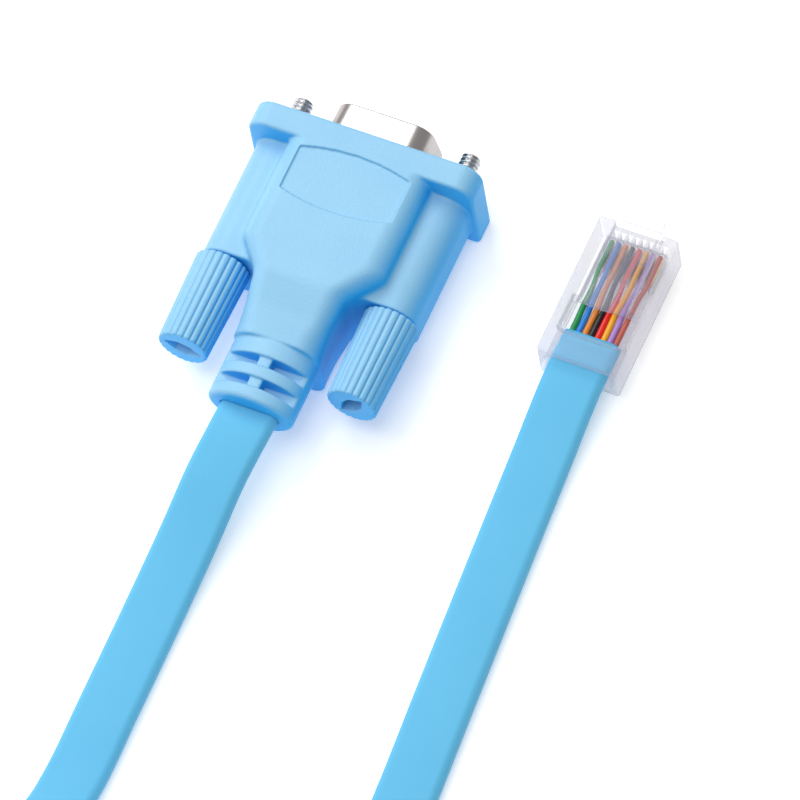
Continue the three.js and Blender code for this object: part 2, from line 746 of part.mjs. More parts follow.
function cableRun() {
  const group = new THREE.Group();
  group.add(piece("cable_to_hood", cableTube(hoodRoute), cableBlue));
  group.add(piece("cable_to_plug", cableTube(plugRoute), cableBlue));
  const bundle = new THREE.Group();
  bundle.position.set(COIL_CENTRE.x, COIL_CENTRE.y, 0);
  bundle.add(piece("cable_coil", coilRing(0), cableBlue));
  const tie = piece("coil_tie", tieGeometry(), tieGrey);
  tie.rotation.z = TIE_ANGLE;
  bundle.add(tie);
  group.add(bundle);
  return group;
}

// The plug end, in a frame whose y = 0 is the plug's nose.
function plugEnd() {
  const group = new THREE.Group();
  group.position.set(PLUG_CENTRE_X, PLUG_NOSE_Y, 0);
  group.add(piece("plug_body", plugBodyGeometry(), clearPlastic));
  group.add(piece("plug_latch", latchGeometry(), clearPlastic));
  const bladeTop = WIRE_HEIGHT - WIRE_DIAMETER / 2 - TOUCH_GAP;
  const wireBack = -JACKET_START + TOUCH_GAP;
  for (let i = 0; i < WIRE_COUNT; i++) {
    const x = (i - (WIRE_COUNT - 1) / 2) * WIRE_PITCH;
    const blade = boxBetween(
      -BLADE_THICKNESS / 2,
      BLADE_THICKNESS / 2,
      -BLADE_START - BLADE_LENGTH,
      -BLADE_START,
      BLADE_FOOT,
      bladeTop,
    );
    const contact = piece(`plug_contact_${i + 1}`, blade, gold);
    contact.position.x = x;
    group.add(contact);
    const core = rodAlongY(WIRE_DIAMETER / 2, wireBack, -WIRE_START, SMALL_ROUND_SIDES);
    const wire = piece(`wire_${i + 1}`, core, { color: wireColours[i], roughness: 0.4, metalness: 0 });
    wire.position.set(x, 0, WIRE_HEIGHT);
    group.add(wire);
  }
  return group;
}

const consoleCable = new THREE.Group();
consoleCable.add(connectorEnd(), cableRun(), plugEnd());

export default consoleCable;
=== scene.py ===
import bpy
import json
import math
import numpy as np
from mathutils import Matrix

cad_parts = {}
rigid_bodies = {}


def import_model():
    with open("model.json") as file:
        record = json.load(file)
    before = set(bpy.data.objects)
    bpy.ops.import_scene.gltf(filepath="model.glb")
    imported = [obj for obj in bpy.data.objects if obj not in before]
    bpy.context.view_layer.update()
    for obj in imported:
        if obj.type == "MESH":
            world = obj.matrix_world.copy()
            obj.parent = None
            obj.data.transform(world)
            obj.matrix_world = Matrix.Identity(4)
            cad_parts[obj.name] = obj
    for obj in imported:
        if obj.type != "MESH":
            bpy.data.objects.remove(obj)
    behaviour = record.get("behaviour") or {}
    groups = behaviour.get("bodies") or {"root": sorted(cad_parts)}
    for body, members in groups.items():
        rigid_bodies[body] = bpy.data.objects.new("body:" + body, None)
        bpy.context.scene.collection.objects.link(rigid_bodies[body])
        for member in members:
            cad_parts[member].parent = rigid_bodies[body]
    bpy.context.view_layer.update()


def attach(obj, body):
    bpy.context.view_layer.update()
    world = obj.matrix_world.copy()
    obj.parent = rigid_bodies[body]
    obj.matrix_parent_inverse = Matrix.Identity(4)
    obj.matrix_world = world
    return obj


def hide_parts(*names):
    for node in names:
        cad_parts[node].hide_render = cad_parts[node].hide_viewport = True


# Console cable: D-sub hood, flat cable in a coil, clear modular plug. Lengths are in millimetres here and
# are scaled to metres when a mesh is made.

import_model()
mm = 0.001

# Where the two connectors stand in the frame
matingFaceY = 18.55
axisHeight = 7.0
screwX = 12.495
plugX = 37.9
plugNoseY = 21.5

# Camera

cameraSet = {
    "azimuth": 33.66,
    "elevation": 60.83,
    "roll": -11.37,
    "lens": 457.5,
    "distance": 1362.0,
    "aim": (18.32, -14.54, 7.12),
}


def makeCamera(s):
    az, el, roll = (math.radians(s[key]) for key in ("azimuth", "elevation", "roll"))
    back = np.array([math.sin(az) * math.cos(el), -math.cos(az) * math.cos(el), math.sin(el)])
    level = np.array([math.cos(az), math.sin(az), 0.0])
    right = level * math.cos(roll) + np.cross(back, level) * math.sin(roll)
    up = np.cross(back, right)
    place = (np.array(s["aim"]) + back * s["distance"]) * mm
    data = bpy.data.cameras.new("photoCamera")
    data.lens = s["lens"]
    data.clip_start = 0.1
    data.clip_end = 20
    cam = bpy.data.objects.new("photoCamera", data)
    bpy.context.collection.objects.link(cam)
    cam.matrix_world = Matrix([[*row, p] for row, p in zip(np.c_[right, up, back], place)] + [[0, 0, 0, 1]])
    bpy.context.scene.camera = cam


makeCamera(cameraSet)
print("camera placed")

# Mesh making


def meshPiece(name, points, quads, tris=None, smooth=True):
    # points in millimetres, quads and tris as rows of point numbers; faces are turned to point outwards
    quads = np.asarray(quads, int).reshape(-1, 4)
    tris = np.zeros((0, 3), int) if tris is None else np.asarray(tris, int).reshape(-1, 3)
    corners = np.concatenate([quads[:, [0, 1, 2]], quads[:, [0, 2, 3]], tris])
    a, b, c = (points[corners[:, i]] for i in range(3))
    if np.einsum("ij,ij->i", a, np.cross(b, c)).sum() < 0:
        quads, tris = quads[:, ::-1], tris[:, ::-1]
    mesh = bpy.data.meshes.new(name)
    mesh.vertices.add(len(points))
    mesh.vertices.foreach_set("co", (points * mm).astype(np.float32).ravel())
    loops = np.concatenate([quads.ravel(), tris.ravel()]).astype(np.int32)
    starts = np.concatenate([np.arange(len(quads)) * 4, len(quads) * 4 + np.arange(len(tris)) * 3])
    mesh.loops.add(len(loops))
    mesh.loops.foreach_set("vertex_index", loops)
    mesh.polygons.add(len(starts))
    mesh.polygons.foreach_set("loop_start", starts.astype(np.int32))
    mesh.update(calc_edges=True)
    mesh.validate()
    mesh.polygons.foreach_set("use_smooth", np.full(len(starts), smooth))
    piece = bpy.data.objects.new(name, mesh)
    bpy.context.collection.objects.link(piece)
    return piece


def gridFaces(rows, columns, closedRows, closedColumns):
    # quads between neighbouring points of a grid, wrapped where it closes on itself
    r = np.arange(rows if closedRows else rows - 1)[:, None]
    c = np.arange(columns if closedColumns else columns - 1)[None, :]
    rn, cn = (r + 1) % rows, (c + 1) % columns
    corners = [r * columns + c, r * columns + cn, rn * columns + cn, rn * columns + c]
    return np.stack(corners, -1).reshape(-1, 4)


def ringedPiece(name, grid, closedRows=False):
    # grid[row, column]: each row is a closed ring; open ends get a fan to the ring's middle
    rows, columns = grid.shape[:2]
    points = grid.reshape(-1, 3)
    quads = gridFaces(rows, columns, closedRows, True)
    if closedRows:
        return meshPiece(name, points, quads)
    middles = np.array([grid[0].mean(0), grid[-1].mean(0)])
    ring = np.arange(columns)
    after = (ring + 1) % columns
    last = (rows - 1) * columns
    first = len(points)
    tris = np.concatenate(
        [
            np.stack([np.full(columns, first), after, ring], -1),
            np.stack([np.full(columns, first + 1), last + ring, last + after], -1),
        ]
    )
    return meshPiece(name, np.concatenate([points, middles]), quads, tris)


# Solids given by a field that is negative inside. Rounded corners and fillets come from how two fields meet.


def roundMeet(a, b, r):
    # what is inside both, its edge rounded to radius r
    u, v = np.maximum(a + r, 0), np.maximum(b + r, 0)
    return np.minimum(np.maximum(a, b), -r) + np.hypot(u, v)


def roundJoin(a, b, r):
    # what is inside either, the inner corner filled to radius r
    return -roundMeet(-a, -b, r)


def roundCut(a, b, r):
    return roundMeet(a, -b, r)


def roundedBox(u, v, halfU, halfV, r):
    # distance to a rectangle with corner radius r
    p, q = np.abs(u) - halfU + r, np.abs(v) - halfV + r
    return np.minimum(np.maximum(p, q), 0) + np.hypot(np.maximum(p, 0), np.maximum(q, 0)) - r


def between(v, low, high):
    return np.maximum(low - v, v - high)


def fieldPiece(name, field, low, high, pitch, offset=(0, 0, 0)):
    # one point in each cell that the surface crosses, at the mean of its edge crossings, then moved onto the
    # surface along the field's slope; a quad round each crossed edge
    axes = [np.arange(a - 2 * pitch, b + 2 * pitch, pitch) for a, b in zip(low, high)]
    f = field(*np.meshgrid(*axes, indexing="ij", sparse=True)).astype(np.float32)
    cells = np.array(f.shape) - 1
    total = int(cells.prod())
    sums, counts = np.zeros((total, 3)), np.zeros(total)
    edges = []
    for axis in range(3):
        one, two = np.moveaxis(f, axis, 0)[:-1], np.moveaxis(f, axis, 0)[1:]
        crossed = np.argwhere(np.moveaxis((one < 0) != (two < 0), 0, axis))
        ahead = crossed.copy()
        ahead[:, axis] += 1
        fa, fb = f[tuple(crossed.T)], f[tuple(ahead.T)]
        where = np.stack([axes[i][crossed[:, i]] for i in range(3)], -1)
        where[:, axis] += fa / (fa - fb) * pitch
        u, v = (axis + 1) % 3, (axis + 2) % 3
        around = []
        for du, dv in ((0, 0), (-1, 0), (-1, -1), (0, -1)):
            cell = crossed.copy()
            cell[:, u] += du
            cell[:, v] += dv
            flat = np.ravel_multi_index(tuple(cell.T), tuple(cells), mode="clip")
            around.append(flat)
            counts += np.bincount(flat, minlength=total)
            for i in range(3):
                sums[:, i] += np.bincount(flat, weights=where[:, i], minlength=total)
        around = np.stack(around, -1)
        around[fa < 0] = around[fa < 0][:, ::-1]
        edges.append(around)
    used = np.flatnonzero(counts)
    number = np.zeros(total, int)
    number[used] = np.arange(len(used))
    points = sums[used] / counts[used][:, None]
    step = pitch / 8
    for _ in range(2):
        value = field(*points.T)
        slope = np.stack([field(*(points + step * np.eye(3)[i]).T) - value for i in range(3)], -1) / step
        size = np.maximum((slope**2).sum(1), 0.2)
        points -= np.clip(value / size, -pitch, pitch)[:, None] * slope * 0.8
    return meshPiece(name, points + np.array(offset), number[np.concatenate(edges)])


# Cable: the route's stops are x, y, z and the roll of the flat section in degrees

cableSet = {"width": 8.4, "thickness": 2.4, "corner": 1.15, "step": 1.5, "insideBoot": 2.5, "overFloor": 0.02}
coilSet = {
    "centre": (20.0, -143.0),
    "meanRadius": 43.0,
    "layerWidth": 6.6,
    "layerPitch": 8.7,
    "foot": 1.1,
    "joinAngle": 153.0,
    "leaveAngle": 27.0,
    "turns": 5,
    "easeAngle": 27.0,
    "climbAngle": 60.0,
    "stopAngle": 9.0,
    "outside": 3.0,
}
hoodRoute = [
    (0, -23.75, 7, 0),
    (-0.15, -27, 6.9, 0),
    (-0.75, -33, 5.5, 0),
    (-1.2, -42, 2.8, 0),
    (-1.4, -54, 1.25, 0),
    (-1.2, -68, 1.25, 0),
    (-1.1, -80, 1.25, 0),
    (-1.8, -86.5, 1.8, 6),
    (-5.2, -94.5, 3.2, 28),
    (-12.3, -102.6, 4.5, 55),
    (-19.2, -111.3, 5.1, 80),
]
plugRoute = [
    (37.9, 4.75, 3.3, 0),
    (37.85, -2, 3.3, 0),
    (38.1, -14, 1.6, 0),
    (38.95, -30, 1.25, 0),
    (40.2, -50, 1.25, 0),
    (41.35, -68, 1.25, 0),
    (42.3, -84, 2.6, 15),
    (46.8, -95.6, 5.6, 40),
    (56.4, -107.2, 10.6, 75),
]


def ease(t):
    t = np.clip(t, 0, 1)
    return t * t * (3 - 2 * t)


def coilStops(s):
    # two layers: the lower winds inwards, climbs at the inner turn, and the upper winds outwards
    whole = 360 * s["turns"] + s["leaveAngle"] - s["joinAngle"]
    along = np.linspace(0, whole, int(whole / s["stopAngle"]))
    fromEnd = np.minimum(along, whole - along)
    outer = s["meanRadius"] + s["layerWidth"] / 2
    winding = np.clip((fromEnd - s["easeAngle"]) / (whole / 2 - s["easeAngle"]), 0, 1)
    radius = outer - s["layerWidth"] * winding + s["outside"] * (1 - ease(fromEnd / s["easeAngle"]))
    angle = np.radians(s["joinAngle"] + along)
    layer = 0.5 + ease((along - whole / 2) / s["climbAngle"] + 0.5)
    return np.stack(
        [
            s["centre"][0] + radius * np.cos(angle),
            s["centre"][1] + radius * np.sin(angle),
            s["foot"] + s["layerPitch"] * layer,
            np.full_like(angle, 90.0),
        ],
        -1,
    )


def smoothRoute(stops, step):
    # a curve through the stops with chord-length spacing, sampled at even steps
    gaps = np.sqrt(np.linalg.norm(np.diff(stops[:, :3], axis=0), axis=1))
    knots = np.r_[0, np.cumsum(gaps)]
    slopes = np.gradient(stops, knots, axis=0)
    fine = np.linspace(0, knots[-1], 40 * len(stops))
    i = np.clip(np.searchsorted(knots, fine, side="right") - 1, 0, len(knots) - 2)
    h = (knots[i + 1] - knots[i])[:, None]
    t = (fine - knots[i])[:, None] / h
    line = (
        (2 * t**3 - 3 * t**2 + 1) * stops[i]
        + (t**3 - 2 * t**2 + t) * h * slopes[i]
        + (3 * t**2 - 2 * t**3) * stops[i + 1]
        + (t**3 - t**2) * h * slopes[i + 1]
    )
    length = np.r_[0, np.cumsum(np.linalg.norm(np.diff(line[:, :3], axis=0), axis=1))]
    even = np.linspace(0, length[-1], int(length[-1] / step) + 1)
    return np.stack([np.interp(even, length, line[:, k]) for k in range(4)], -1), length[-1]


def sectionRing(halfWidth, halfHeight, corner, perCorner):
    # a rectangle with round corners as one ring of points
    angle = np.linspace(0, math.pi / 2, perCorner)
    ring = []
    for k, (sx, sy) in enumerate(((1, 1), (-1, 1), (-1, -1), (1, -1))):
        a = angle + k * math.pi / 2
        x = sx * (halfWidth - corner) + corner * np.cos(a)
        y = sy * (halfHeight - corner) + corner * np.sin(a)
        ring.append(np.stack([x, y], -1))
    return np.concatenate(ring)


def cableFrames(line, roll):
    # the section's own axes at each point: level across the run, then turned by the roll about it
    tangent = np.gradient(line, axis=0)
    tangent /= np.linalg.norm(tangent, axis=1)[:, None]
    across = np.cross(tangent, (0, 0, 1))
    across /= np.linalg.norm(across, axis=1)[:, None]
    upward = np.cross(tangent, across)
    c, s = np.cos(roll)[:, None], np.sin(roll)[:, None]
    return across * c + upward * s, upward * c - across * s


def makeCable(s):
    hood, plug = np.array(hoodRoute, float), np.array(plugRoute, float)
    start = hood[:1] + (0, s["insideBoot"], 0, 0)
    stops = np.concatenate([start, hood, coilStops(coilSet), plug[::-1]])
    route, length = smoothRoute(stops, s["step"])
    line = route[:, :3]
    wide, flat = cableFrames(line, np.radians(route[:, 3]))
    ring = sectionRing(s["width"] / 2, s["thickness"] / 2, s["corner"], 7)
    grid = line[:, None] + ring[None, :, :1] * wide[:, None] + ring[None, :, 1:] * flat[:, None]
    grid[:, :, 2] = np.maximum(grid[:, :, 2], s["overFloor"])
    cable = ringedPiece("flat_cable", grid)
    # how far along and across the jacket each point lies, kept as attributes of its points
    along = np.repeat(np.linspace(0, length, len(line)), len(ring))
    across = np.tile(ring[:, 0], len(line))
    for name, values in (("along", along), ("across", across)):
        attribute = cable.data.attributes.new(name, "FLOAT", "POINT")
        attribute.data.foreach_set("value", np.r_[values, values[:2] * 0].astype(np.float32))
    print("cable made, length in mm:", round(length, 1))
    return cable, line


cable, cableLine = makeCable(cableSet)
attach(cable, "cable_assembly")
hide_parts("cable_to_hood", "cable_coil", "cable_to_plug")

# Hood

hoodSet = {
    "pitch": 0.226,
    "quickPitch": 0.4,
    "flangeWidth": 33.4,
    "flangeDepth": 3.9,
    "flangeCorner": 2.8,
    "footCorner": 0.8,
    "height": 14.0,
    "edge": 0.5,
    "housingReach": 3.3,
    "housingFoot": 1.0,
    "housingTop": 10.5,
    "housingFootCorner": 3.0,
    "housingTopCorner": 3.5,
    "housingEnd": 22.2,
    "collarEnd": 32.7,
    "bootWidth": 12.5,
    "bootHeight": 8.4,
    "bootEnd": 42.0,
    "slotStarts": (35.2, 38.5),
    "slotWidth": 1.5,
    "slotBridge": 1.9,
    "slotFloor": 1.6,
    "labelWidth": 16.2,
    "labelStart": 5.1,
    "labelEnd": 11.9,
    "labelBulge": 1.2,
    "labelDepth": 0.35,
    "boreRadius": 1.72,
    "web": 0.9,
    "bodyFootCorner": 2.2,
    "bridgeDrop": 0.45,
}
# distance behind the mating face, width, top height, top corner radius
hoodStations = np.array(
    [
        (1.0, 21.0, 14.0, 3.0),
        (19.4, 21.0, 14.0, 3.0),
        (24.0, 13.6, 14.0, 2.8),
        (28.4, 12.6, 12.3, 2.8),
        (31.6, 12.6, 11.5, 3.6),
        (32.7, 12.9, 11.3, 3.9),
        (60.0, 12.9, 11.3, 3.9),
    ]
)
shellSet = {
    "width": 16.3,
    "height": 7.9,
    "wall": 0.45,
    "corner": 2.2,
    "slant": 1.39,
    "reach": 4.9,
    "seat": 3.0,
}


def station(distance, column):
    # a size along the hood, its changes of slope softened over about a millimetre
    shifts = np.linspace(-0.6, 0.6, 5)
    return sum(np.interp(distance + d, hoodStations[:, 0], hoodStations[:, column]) for d in shifts) / 5


def dField(x, z, margin):
    # distance to the D outline: wide side down, sides slanting in towards the top
    s = shellSet
    lean = s["slant"] / s["height"]
    half = s["width"] / 2 - s["slant"] / 2 - lean * (z - axisHeight)
    side = (np.abs(x) - half) / math.hypot(1, lean)
    return roundMeet(side - margin, np.abs(z - axisHeight) - s["height"] / 2 - margin, s["corner"] + margin)


def hoodField(x, y, z):
    s = hoodSet
    back = -y
    # flange
    corner = np.where(z > axisHeight, s["flangeCorner"], s["footCorner"])
    plate = roundedBox(x, z - s["height"] / 2, s["flangeWidth"] / 2, s["height"] / 2, corner)
    flange = roundMeet(plate, between(back, 0, s["flangeDepth"]), s["edge"])
    # body and neck
    width, top, topCorner = (station(back, column) for column in (1, 2, 3))
    radius = np.where(z > top / 2, topCorner, s["bodyFootCorner"])
    body = roundedBox(x, z - top / 2, width / 2, top / 2, radius)
    body = roundMeet(body, between(back, 1.5, s["collarEnd"]), 0.35)
    # housings of the two screws: one broad block through the body, its outer sides rounded
    across = np.abs(x) - screwX
    low, high = s["housingFoot"], s["housingTop"]
    middle, halfHigh = (low + high) / 2, (high - low) / 2
    radius = np.where(z > middle, s["housingTopCorner"], s["housingFootCorner"])
    block = roundedBox(x, z - middle, screwX + s["housingReach"], halfHigh, radius)
    housing = roundMeet(block, between(back, 1.5, s["housingEnd"]), 0.25)
    whole = roundJoin(roundJoin(body, housing, s["web"]), flange, 0.3)
    whole = np.maximum(whole, between(z, 0, s["height"]))
    # boot
    a, b = s["bootWidth"] / 2, s["bootHeight"] / 2
    oval = (np.sqrt((x / a) ** 2 + ((z - axisHeight) / b) ** 2) - 1) * b
    boot = roundMeet(oval, between(back, 30, s["bootEnd"]), 0.7)
    for start in s["slotStarts"]:
        slotRun = between(back, start, start + s["slotWidth"])
        slot = np.maximum(slotRun, s["slotFloor"] - np.abs(z - axisHeight))
        slot = np.maximum(slot, np.minimum(s["slotBridge"] / 2 - np.abs(x), -oval - s["bridgeDrop"]))
        boot = roundCut(boot, slot, 0.2)
    whole = roundJoin(whole, boot, 0.15)
    mouth = roundedBox(x, z - axisHeight, cableSet["width"] / 2 + 0.05, cableSet["thickness"] / 2 + 0.05, 1.2)
    whole = roundCut(whole, np.maximum(mouth, s["bootEnd"] - 3 - back), 0.12)
    # label field, its front and rear edges bowed outwards
    half = s["labelWidth"] / 2
    bulge = s["labelBulge"] * (1 - (x / half) ** 2)
    label = np.maximum(np.abs(x) - half, between(back, s["labelStart"] - bulge, s["labelEnd"] + bulge))
    label = np.maximum(label, s["height"] - s["labelDepth"] - z)
    whole = roundCut(whole, label, 0.08)
    # bores of the screws and the shell's seat
    bore = np.hypot(across, z - axisHeight) - s["boreRadius"]
    whole = roundCut(whole, bore, 0.15)
    seat = np.maximum(dField(x, z, 0.3), -shellSet["seat"] - 0.3 - y)
    hollow = np.maximum(dField(x, z, -shellSet["wall"]), -3.8 - y)
    return roundCut(roundCut(whole, seat, 0.15), hollow, 0.05)


hood = fieldPiece(
    "moulded_hood",
    hoodField,
    (-16.8, -42.1, -0.1),
    (16.8, 0.1, 14.1),
    hoodSet["pitch"],
    (0, matingFaceY, 0),
)
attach(hood, "cable_assembly")
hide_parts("hood")
print("hood made, faces:", len(hood.data.polygons))

# Thumbscrews: ribbed knobs with a drive recess, and threaded screws

knobSet = {
    "start": 22.5,
    "length": 13.7,
    "frontRadius": 4.0,
    "rearRadius": 3.65,
    "ribs": 22,
    "ribDepth": 0.3,
    "edge": 0.3,
    "bore": 1.72,
    "boreDepth": 9.8,
    "driveHalfLength": 2.75,
    "driveHalfWidth": 1.15,
    "driveHalfFlat": 0.9,
    "driveDepth": 1.6,
}
screwSet = {"radius": 1.42, "root": 1.08, "pitch": 0.635, "reach": 4.9, "threadBack": 1.6, "end": 32.0}


def driveOutline(angle, s):
    # distance from the middle to the edge of the long six-sided recess, in each direction
    slant = math.atan2(s["driveHalfWidth"], s["driveHalfLength"] - s["driveHalfFlat"])
    reach = s["driveHalfLength"] * math.sin(slant)
    c, w = np.abs(np.cos(angle)), np.abs(np.sin(angle))
    return 1 / np.maximum((c * math.sin(slant) + w * math.cos(slant)) / reach, w / s["driveHalfWidth"])


def knobPiece(name, x, s, turn):
    columns = s["ribs"] * 12
    angle = np.arange(columns) * 2 * math.pi / columns
    rib = np.abs(np.sin(angle * s["ribs"] / 2)) ** 0.45  # broad ribs with narrow grooves between them
    front, rear, edge, length = s["frontRadius"], s["rearRadius"], s["edge"], s["length"]
    grooved = s["ribDepth"] * (rib - 1)
    rings = [(np.full(columns, 0.02), s["boreDepth"]), (np.full(columns, s["bore"]), s["boreDepth"])]
    rings += [(np.full(columns, s["bore"]), 0.0), (np.full(columns, front - 1.2), 0.0)]
    for t in np.linspace(0, math.pi / 2, 4):
        rings.append((front - edge + edge * math.sin(t) + grooved, edge * (1 - math.cos(t))))
    for t in np.linspace(0.1, 0.95, 12):
        rings.append((front + (rear - front) * t + grooved, edge + (length - 2 * edge) * t))
    for t in np.linspace(0, math.pi / 2, 5):
        rings.append((rear - edge + edge * math.cos(t) + grooved, length - edge * (1 - math.sin(t))))
    outline = driveOutline(angle + turn, s)
    rim = rear - edge + grooved
    for t in (0.25, 0.6, 0.9):
        rings.append((rim + (outline * 1.1 - rim) * t, length))
    rings.append((outline * 1.08, length))
    rings.append((outline * 1.02, length - 0.05))
    rings.append((outline, length - 0.15))
    rings.append((outline * 0.97, length - s["driveDepth"]))
    rings.append((outline * 0.4, length - s["driveDepth"]))
    grid = np.stack(
        [
            np.stack(
                [x + r * np.cos(angle), np.full(columns, -s["start"] - d), axisHeight + r * np.sin(angle)],
                -1,
            )
            for r, d in rings
        ]
    )
    return ringedPiece(name, grid + np.array([0, matingFaceY, 0]))


def screwPiece(name, x, s):
    # the thread's radius follows a triangle wave along a helix
    columns = 36
    angle = np.arange(columns) * 2 * math.pi / columns
    back = np.r_[np.linspace(-s["reach"], s["threadBack"], 150), s["threadBack"] + 0.2, s["end"]]
    phase = (back[:, None] / s["pitch"] - angle[None] / (2 * math.pi)) % 1
    depth = np.clip(np.abs(phase * 2 - 1) * 1.3 - 0.15, 0, 1)
    radius = s["radius"] - (s["radius"] - s["root"]) * depth
    radius[-2:] = s["root"] + 0.15
    chamfer = np.clip((back + s["reach"]) / 0.4, 0, 1)[:, None]
    radius = np.minimum(radius, s["root"] - 0.15 + (s["radius"] - s["root"] + 0.15) * chamfer)
    grid = np.stack(
        [
            x + radius * np.cos(angle),
            np.broadcast_to(-back[:, None] + matingFaceY, radius.shape),
            axisHeight + radius * np.sin(angle),
        ],
        -1,
    )
    return ringedPiece(name, grid)


for side, word, turn in ((-1, "left", 0.25), (1, "right", -0.9)):
    knob = knobPiece(f"{word}_ribbed_knob", side * screwX, knobSet, turn)
    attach(knob, f"{word}_thumbscrew")
    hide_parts(f"{word}_knob")
    screw = screwPiece(f"{word}_threaded_screw", side * screwX, screwSet)
    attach(screw, f"{word}_thumbscrew")
    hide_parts(f"{word}_screw")
print("thumbscrews made")

# Shell, insulator and contact sleeves of the D-sub socket


def dRing(margin, perCorner):
    # the D outline as a ring of points, found by walking out from the middle to the field's zero
    angle = np.linspace(0, 2 * math.pi, 4 * perCorner, endpoint=False)
    low, high = np.zeros_like(angle), np.full_like(angle, 12.0)
    for _ in range(30):
        middle = (low + high) / 2
        outside = dField(middle * np.cos(angle), axisHeight + middle * np.sin(angle), margin) > 0
        low, high = np.where(outside, low, middle), np.where(outside, middle, high)
    return np.stack([low * np.cos(angle), axisHeight + low * np.sin(angle)], -1)


def shellPiece(s):
    # round the wall's section: out along the outer face, over the round lip, back along the inner face
    lip = s["wall"] / 2
    section = [(0.0, -s["seat"]), (0.0, -1.0), (0.0, 1.5), (0.0, s["reach"] - lip)]
    bend = np.linspace(0.4, 2.7, 6)
    section += [(-lip + lip * math.cos(t), s["reach"] - lip + lip * math.sin(t)) for t in bend]
    section += [(-s["wall"], y) for y in (s["reach"] - lip, 1.5, -1.0, -s["seat"])]
    rows = []
    for margin, y in section:
        ring = dRing(margin, 48)
        rows.append(np.stack([ring[:, 0], np.full(len(ring), y + matingFaceY), ring[:, 1]], -1))
    return ringedPiece("pressed_shell", np.array(rows), closedRows=True)


shell = shellPiece(shellSet)
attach(shell, "cable_assembly")
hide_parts("d_shell")

contactPlaces = [(2.77 * (i - 2), axisHeight - 1.42) for i in range(5)]
contactPlaces += [(2.77 * (i - 1.5), axisHeight + 1.42) for i in range(4)]


def insulatorField(x, y, z):
    face = 4.5
    block = roundMeet(dField(x, z, -0.75), between(y, face - 8, face), 0.2)
    for cx, cz in contactPlaces:
        off = np.hypot(x - cx, z - cz)
        block = roundCut(block, np.maximum(off - 0.62, y * 0 - 1), 0.18)
        block = np.maximum(block, -np.maximum(off - 1.0, y - (face - 0.75)))
    return block


block = fieldPiece(
    "socket_insulator",
    insulatorField,
    (-7.5, -3.6, 3.5),
    (7.5, 4.6, 10.5),
    0.14,
    (0, matingFaceY, 0),
)
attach(block, "cable_assembly")
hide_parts("socket_block")

for number, (cx, cz) in enumerate(contactPlaces, 1):
    angle = np.arange(24) * 2 * math.pi / 24
    section = [(0.52, -2.4), (0.85, -2.4), (0.85, 3.3), (0.8, 3.5), (0.72, 3.6), (0.62, 3.55), (0.53, 3.3)]
    rows = [
        np.stack([cx + r * np.cos(angle), angle * 0 + y + matingFaceY, cz + r * np.sin(angle)], -1)
        for r, y in section
    ]
    sleeve = ringedPiece(f"contact_sleeve_{number}", np.array(rows), closedRows=True)
    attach(sleeve, "cable_assembly")
    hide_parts(f"socket_contact_{number}")
print("socket made")

# Modular plug, measured back from its nose and up from its contact side

plugSet = {
    "width": 11.68,
    "length": 21.9,
    "height": 6.6,
    "edge": 0.45,
    "wirePitch": 1.02,
    "wireHeight": 3.3,
    "jacketStart": 16.75,
    "windowStart": 12.4,
    "windowEnd": 18.0,
    "windowWidth": 9.0,
    "pocketWidth": 6.9,
    "pocketFloor": 4.9,
    "cavityWidth": 9.4,
    "cavityHeight": 3.4,
}


def plugField(x, y, z):
    s = plugSet
    back = -y
    block = roundedBox(x, z - s["height"] / 2, s["width"] / 2, s["height"] / 2, s["edge"])
    block = roundMeet(block, between(back, 0, s["length"]), 0.35)
    channel = np.maximum(np.abs(x) - 4.38, np.abs(z - s["wireHeight"]) - 0.75)
    channel = np.maximum(channel, between(back, 1.3, s["jacketStart"] + 1))
    block = roundCut(block, channel, 0.1)
    cavity = roundedBox(x, z - s["wireHeight"], s["cavityWidth"] / 2, s["cavityHeight"] / 2, 0.4)
    block = roundCut(block, np.maximum(cavity, s["jacketStart"] - 0.6 - back), 0.25)
    pocket = np.maximum(np.abs(x) - s["pocketWidth"] / 2, s["pocketFloor"] - z)
    block = roundCut(block, np.maximum(pocket, back - s["windowStart"] - 0.3), 0.2)
    window = np.maximum(np.abs(x) - s["windowWidth"] / 2, s["wireHeight"] - z)
    block = roundCut(block, np.maximum(window, between(back, s["windowStart"], s["windowEnd"])), 0.2)
    nearest = (np.floor(x / s["wirePitch"]) + 0.5) * s["wirePitch"]
    slot = np.maximum(np.abs(x - nearest) - 0.31, np.abs(x) - 4.08)
    slot = np.maximum(np.maximum(slot, back - 6), z - s["wireHeight"])
    return roundCut(block, slot, 0.06)


plugOffset = (plugX, plugNoseY, 0)
plugBody = fieldPiece(
    "clear_plug_body",
    plugField,
    (-5.9, -22.0, -0.1),
    (5.9, 0.1, 6.7),
    0.15,
    plugOffset,
)
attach(plugBody, "cable_assembly")
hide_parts("plug_body")


latchSet = {"reach": 1.6, "hook": 1.0, "shoulder": 5.4, "end": 14.3, "width": 6.3, "leverWidth": 3.7}


def latchField(x, y, z):
    # root in front of the nose, wide part up to the shoulders, then the narrow lever rising backwards
    s = latchSet
    back = -y
    top = np.interp(back, (-s["reach"], s["shoulder"], s["end"]), (7.2, 7.6, 9.0))
    plate = np.maximum(z - top, top - 1.2 - z)
    wide = roundMeet(plate, between(back, -s["reach"], s["shoulder"]), 0.2)
    wide = roundMeet(wide, np.abs(x) - s["width"] / 2, 0.2)
    root = roundMeet(between(back, -s["reach"], -s["reach"] + s["hook"]), between(z, 5.4, 7.1), 0.2)
    root = roundMeet(root, np.abs(x) - s["width"] / 2, 0.2)
    lever = roundMeet(np.maximum(plate, z - top + 0.1), between(back, s["shoulder"] - 1, s["end"]), 0.2)
    lever = roundMeet(lever, np.abs(x) - s["leverWidth"] / 2, 0.2)
    return roundJoin(roundJoin(wide, root, 0.2), lever, 0.15)


